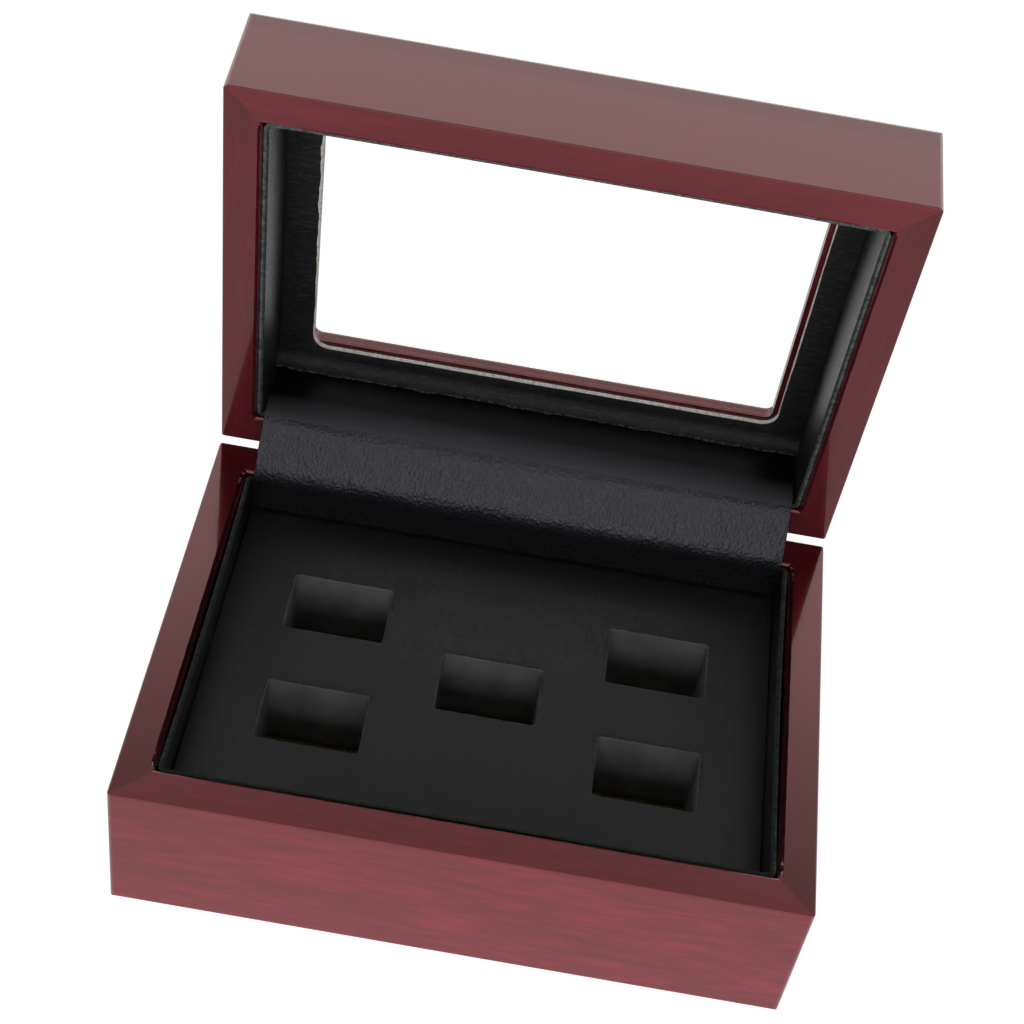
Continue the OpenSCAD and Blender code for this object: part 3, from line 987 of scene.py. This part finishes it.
window_card = make_object(
    "window_card_covered", to_open(points), faces, card_cloth, card_core, torn_cloth, parts=parts
)
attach(window_card, "lid")
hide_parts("window_card")


# Insert cover. Leathercloth glued over the insert's board and turned down its sides, and
# cut at each of the five slots, where strips of the same cloth line the walls.
slot_size = (25.0, 17.4)
slot_centres = ((0, 0), (-40.6, -17.5), (40.6, -17.5), (-40.6, 17.5), (40.6, 17.5))
slot_corner = 0.7
cloth_roll = 0.5
slot_border = 1.6
edge_border = 2.4
edge_corner = 0.6
skirt = 8.0
grid_step = 1.0
roll_loops = 6
roll_from = 2
wall_loops = 8
insert_wave = 0.07

slot_cloth = leathercloth(
    "vinyl_leathercloth_turned_down", 0.9, (1, 1, 1), 0.05, 0.75, ("#787878", "#949494")
)

low, high = (np.array(corner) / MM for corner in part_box("insert_cover"))
insert_half = high[:2]
slot_half = np.array(slot_size) / 2


def lines(edge, marks):
    """Grid lines from -edge to edge through every mark, about grid_step apart."""
    stops = np.unique(np.round([-edge, *marks, edge], 6))
    spans = [
        np.linspace(a, b, max(2, round((b - a) / grid_step) + 1))[:-1] for a, b in zip(stops, stops[1:])
    ]
    return np.concatenate([*spans, [edge]])


marks_x = [c[0] + s * (slot_half[0] + slot_border) for c in slot_centres for s in (-1, 1)]
marks_y = [c[1] + s * (slot_half[1] + slot_border) for c in slot_centres for s in (-1, 1)]
xs = lines(insert_half[0] - edge_border, marks_x)
ys = lines(insert_half[1] - edge_border, marks_y)


def rectangle_loop(centre, half_size):
    """The grid's points on a rectangle's border, in order round it."""
    x = xs[(xs > centre[0] - half_size[0] - 1e-4) & (xs < centre[0] + half_size[0] + 1e-4)]
    y = ys[(ys > centre[1] - half_size[1] - 1e-4) & (ys < centre[1] + half_size[1] + 1e-4)]
    return np.concatenate([
        np.stack([x[:-1], np.full(len(x) - 1, y[0])], -1),
        np.stack([np.full(len(y) - 1, x[-1]), y[:-1]], -1),
        np.stack([x[:0:-1], np.full(len(x) - 1, y[-1])], -1),
        np.stack([np.full(len(y) - 1, x[0]), y[:0:-1]], -1),
    ])


def rolled_edge(centre, start_half, edge_half, corner, side, depth):
    """Loops from a flat rectangle to a rounded edge, over a quarter circle and down a wall.
    side is 1 where the wall bounds a slot and -1 where it bounds the whole insert."""
    start = rectangle_loop(centre, start_half)
    target = (start - centre) * np.asarray(edge_half) / start_half
    core = np.clip(target, corner - np.asarray(edge_half), np.asarray(edge_half) - corner)
    out = target - core
    out = out / np.linalg.norm(out, axis=1, keepdims=True)
    edge = centre + core + corner * out
    turn = np.linspace(0, math.pi / 2, roll_loops + 1)
    spread = np.concatenate([side * cloth_roll * (1 - np.sin(turn)), np.zeros(wall_loops)])
    sink = np.concatenate([
        cloth_roll * (1 - np.cos(turn)), np.linspace(cloth_roll, depth, wall_loops + 1)[1:]
    ])
    loops = edge[:, None] + out[:, None] * spread[None, :, None]
    loops = np.concatenate([start[:, None], loops], 1)
    sink = np.concatenate([[0], sink])
    z = np.broadcast_to(high[2] - sink[None, :, None], loops.shape[:2] + (1,))
    points = np.concatenate([loops, z], -1)
    faces = grid_faces(points.shape[0], points.shape[1], close_rows=True)
    loop = np.tile(np.arange(points.shape[1] - 1), points.shape[0])
    parts = np.where(loop > roll_from, 1, np.where(loop > 0, 2, 0))
    points = points.reshape(-1, 3)
    a, b, c = (points[faces[0, k]] for k in (0, 1, 2))
    if np.cross(b - a, c - a)[2] < 0:
        faces = faces[:, ::-1]
    return points, faces, parts if side > 0 else parts * 0


top_x, top_y = np.meshgrid(xs, ys, indexing="ij")
top = np.stack([top_x, top_y, np.full(top_x.shape, high[2])], -1).reshape(-1, 3)
top_faces = grid_faces(len(xs), len(ys))
middle = top[top_faces].mean(1)
a, b, c = (top[top_faces[0, k]] for k in (0, 1, 2))
if np.cross(b - a, c - a)[2] < 0:
    top_faces = top_faces[:, ::-1]
kept = np.ones(len(top_faces), bool)
for centre in slot_centres:
    away = np.abs(middle[:, :2] - centre)
    kept &= ~((away < slot_half + slot_border).all(1))
all_points, all_faces, all_parts = [top], [top_faces[kept]], [np.zeros(kept.sum(), int)]
edges = [(c, slot_half + slot_border, slot_half, slot_corner, 1, high[2] - low[2]) for c in slot_centres]
edges.append(((0, 0), insert_half - edge_border, insert_half, edge_corner, -1, skirt))
for edge in edges:
    points, faces, parts = rolled_edge(*edge)
    all_faces.append(faces + sum(map(len, all_points)))
    all_points.append(points)
    all_parts.append(parts)
points = np.concatenate(all_points)
_, first, welded = np.unique(np.round(points, 4), axis=0, return_index=True, return_inverse=True)
faces = welded.reshape(-1)[np.concatenate(all_faces)]
points = points[first]
used = np.unique(faces)
faces = np.searchsorted(used, faces)
points = points[used]
points[:, 2] += insert_wave * (waver(points[:, 0] / 9, 1.2) + waver(points[:, 1] / 9, 2.3))
parts = np.concatenate(all_parts)
insert_cover = make_object(
    "insert_cover_turned", points, faces, insert_cloth, slot_cloth, torn_cloth, parts=parts
)
skin = insert_cover.modifiers.new("skin", "SOLIDIFY")
skin.thickness = 0.4 * MM
skin.offset = -1
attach(insert_cover, "base")
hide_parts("insert_cover")


# Hinge cover. One piece of leathercloth glued up the base's rear lining, drawn taut across
# both rims and glued along the lid's rear lining, so that it hides the hinges. The taut
# part is glossy, with painted highlights on the tops of its pebbles; the part in the lid is
# dull, paler toward the rim by painted light and darker at its deep end by painted shade.
cover_half_length = 68.8
cover_off_axis = 11.85
base_rise = 1.3
cover_radius = 6.5
cover_soft_radius = 9.5
lid_rise = 1.0
lid_radius = 8.0
lid_soft_radius = 11.0
lid_puff = 0.5
lid_puff_from, lid_puff_to = 7.0, 19.6
lid_puff_rise = 0.45
cover_thickness = 0.7
cover_foot = 30.45
cover_end = 60.0
cover_rows = 560
cover_counts = (8, 16, 30, 16, 16)
cover_crown = 0.25
taut_half = 8.5
crease_at, crease_width, crease_depth = 5.6, 1.3, 0.14
pucker = 0.12
cloths_meet = 8.0
# Distance along the fold where the lid's part is in painted shade; it is lightened fully where the cloths
# meet.
painted_shade_from = 14.5
chord_off_hinge = 9.07

half_fold = open_angle / 2
mirror_line = np.array([-math.cos(half_fold), math.sin(half_fold)])
chord_way = np.array([0, math.sin(half_fold), math.cos(half_fold)])
chord_middle = hinge_point + [0, *(mirror_line * chord_off_hinge)]
chord_at = chord_middle @ chord_way
cover_cloth = leathercloth(
    "vinyl_leathercloth_drawn_taut",
    0.85,
    (1, 1.1, 1.1),
    0.14,
    0.36,
    ("#060607", "#0b0b0d"),
    0.85,
    "#eeeeff",
    # Painted highlights on the tops of the pebbles.
    highlighted_tops="#2c2c32",
)
glued_cloth = leathercloth(
    "vinyl_leathercloth_glued_in_lid",
    0.85,
    (2.5, 1, 1),
    0.03,
    0.36,
    ("#060606", "#0b0b0b"),
    0.1,
    "#eeeeff",
    # Painted light toward the rim, painted shade at the deep end.
    painted_light_toward=(tuple(chord_way), chord_at + painted_shade_from, chord_at + cloths_meet, "#66666b"),
)


def cover_line(radius, end, rise):
    """Half of the cover's section from its free end to the start of the taut part, about
    the hinge line: up a wall, then round an arc that turns by half the opening angle. Wall
    and taut part would meet at the height rise."""
    centre = np.array([radius - cover_off_axis, rise - radius * math.tan(half_fold / 2)])
    turn = math.pi - np.linspace(0, half_fold, cover_counts[1] + 1)
    arc = centre + radius * np.stack([np.cos(turn), np.sin(turn)], -1)
    climb = np.linspace(end, arc[0, 1], cover_counts[0] + 1)[:-1]
    wall = np.stack([np.full(cover_counts[0], -cover_off_axis), climb], -1)
    return np.concatenate([wall, arc])


def across_fold(section):
    """A section mirrored across the middle of the fold, in reverse order."""
    mirrored = 2 * (section @ mirror_line)[..., None] * mirror_line - section
    return mirrored[::-1]


def cover_section(base_radius, lid_radius):
    """The whole section: the base's half, the taut chord, and the lid's half mirrored."""
    base_half = cover_line(base_radius, cover_foot - hinge_point[2], base_rise)
    lid_half = across_fold(cover_line(lid_radius, hinge_point[2] - cover_end, lid_rise))
    chord = np.linspace(0, 1, cover_counts[2] + 1)[1:-1, None]
    chord = base_half[-1] + (lid_half[0] - base_half[-1]) * chord
    return np.concatenate([base_half, chord, lid_half])


x = np.linspace(-cover_half_length, cover_half_length, cover_rows)
base_soft = np.clip(0.35 + 0.8 * waver(x / 22 + 3, 1.5), 0, 1)[:, None, None]
lid_soft = (np.clip((x + 60) / 6, 0, 1) * np.clip((26 - x) / 12, 0, 1))[:, None, None]
crisp = cover_section(cover_radius, lid_radius)
section = crisp + base_soft * (cover_section(cover_soft_radius, lid_radius) - crisp)
section = section + lid_soft * (cover_section(cover_radius, lid_soft_radius) - crisp)
tangent = np.gradient(section, axis=1)
tangent /= np.linalg.norm(tangent, axis=-1, keepdims=True)
normal = np.stack([-tangent[..., 1], tangent[..., 0]], -1)
along = section @ chord_way[1:]
taut = np.clip(1 - (along / taut_half) ** 2, 0, 1)
crease = np.exp(-(((along + crease_at + 0.7 * waver(x / 6, 2.1)[:, None]) / crease_width) ** 2))
puff = cover_crown * taut * (1 + 0.4 * waver(x / 14, 1.1)[:, None])
up_lid = np.clip((along - lid_puff_from) / (lid_puff_to - lid_puff_from), 0, 1)
rise = np.clip(up_lid / lid_puff_rise, 0, 1)
puff = puff + lid_puff * (1 - up_lid) * rise**2 * (3 - 2 * rise)
puff = puff + crease_depth * crease * waver(x / 2.4, 2.6)[:, None]
puff = puff + pucker * taut * waver(x[:, None] / 3.1 + along / 6, 1.9)
section = section + normal * puff[..., None]
offset = normal * cover_thickness / 2


def cover_layer(section):
    """Grid points of one layer, from its section at each place along the hinge line."""
    across = np.broadcast_to(x[:, None, None], section.shape[:2] + (1,))
    return np.concatenate([across, section + hinge_point[1:]], -1)


points, faces = slab(cover_layer(section + offset), cover_layer(section - offset))
parts = points[faces].mean(axis=1) @ chord_way > chord_at + cloths_meet
hinge_cover = make_object(
    "hinge_cover_drawn", points, faces, cover_cloth, glued_cloth, parts=parts.astype(int)
)
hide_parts("hinge_cover")
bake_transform(hinge_cover)


# Bottom panel and insert board. Raw fibreboard, sawn to size: matt and speckled brown. The
# panel is glued into the rebate of the base's boards, and the insert's board lies on its foam.
fibres_per_mm = 0.9
fibreboard, tree, shader = new_material("raw_fibreboard")
place = add(tree, "ShaderNodeTexCoord")
fibres = add(
    tree, "ShaderNodeTexNoise", {"Scale": fibres_per_mm / MM, "Detail": 4.0}, Vector=place.outputs["Object"]
)
tone = add(tree, "ShaderNodeValToRGB", {}, Fac=fibres.outputs["Fac"])
for stop, shade in zip(tone.color_ramp.elements, ("#7d6243", "#b3946a")):
    stop.color = linear(shade)
tree.links.new(tone.outputs["Color"], shader.inputs["Base Color"])
shader.inputs["Roughness"].default_value = 0.85
paint(fibreboard, "base_bottom_panel", "insert_board")


# Foam of the insert. Raw sponge, cut to size: matt, with open cells. It lies on the bottom
# panel and is seen only at the foot of the slots.
cells_per_mm = 1.4
sponge, tree, shader = new_material("raw_sponge")
place = add(tree, "ShaderNodeTexCoord")
cells = add(tree, "ShaderNodeTexVoronoi", {"Scale": cells_per_mm / MM}, Vector=place.outputs["Object"])
tone = add(tree, "ShaderNodeValToRGB", {}, Fac=cells.outputs["Distance"])
for stop, shade in zip(tone.color_ramp.elements, ("#6b5a34", "#b39d63")):
    stop.color = linear(shade)
tree.links.new(tone.outputs["Color"], shader.inputs["Base Color"])
shader.inputs["Roughness"].default_value = 0.9
paint(sponge, "insert_foam")


# Felt under the case. Short black wool felt with a faint sheen, cut a little smaller than
# the case and glued on.
tufts_per_mm = 1.5
felt, tree, shader = new_material("wool_felt")
place = add(tree, "ShaderNodeTexCoord")
nap = add(
    tree, "ShaderNodeTexNoise", {"Scale": tufts_per_mm / MM, "Detail": 3.0}, Vector=place.outputs["Object"]
)
tone = add(tree, "ShaderNodeValToRGB", {}, Fac=nap.outputs["Fac"])
for stop, shade in zip(tone.color_ramp.elements, ("#0c0c0c", "#262626")):
    stop.color = linear(shade)
tree.links.new(tone.outputs["Color"], shader.inputs["Base Color"])
shader.inputs["Roughness"].default_value = 0.95
shader.inputs["Sheen Weight"].default_value = 0.3
paint(felt, "base_felt")


# Hinges. Two butt hinges let into the rear boards, hidden from the front by the hinge
# cover: stamped and rolled brass leaves, drawn pins and turned screws, all dulled a little.
marks_per_mm = 0.7
brass, tree, shader = new_material("stamped_brass")
place = add(tree, "ShaderNodeTexCoord")
drawn = add(
    tree, "ShaderNodeTexNoise", {"Scale": marks_per_mm / MM, "Detail": 3.0}, Vector=place.outputs["Object"]
)
dull = add(tree, "ShaderNodeMapRange", {"To Min": 0.24, "To Max": 0.4}, Value=drawn.outputs["Fac"])
tree.links.new(dull.outputs["Result"], shader.inputs["Roughness"])
shader.inputs["Base Color"].default_value = linear("#c9a356")
shader.inputs["Metallic"].default_value = 1.0
paint(
    brass,
    "hinge_base_leaf_left",
    "hinge_base_leaf_right",
    "hinge_lid_leaf_left",
    "hinge_lid_leaf_right",
    "hinge_pin_left",
    "hinge_pin_right",
    "base_hinge_screws",
    "lid_hinge_screws",
)

scene.view_settings.view_transform = "Standard"
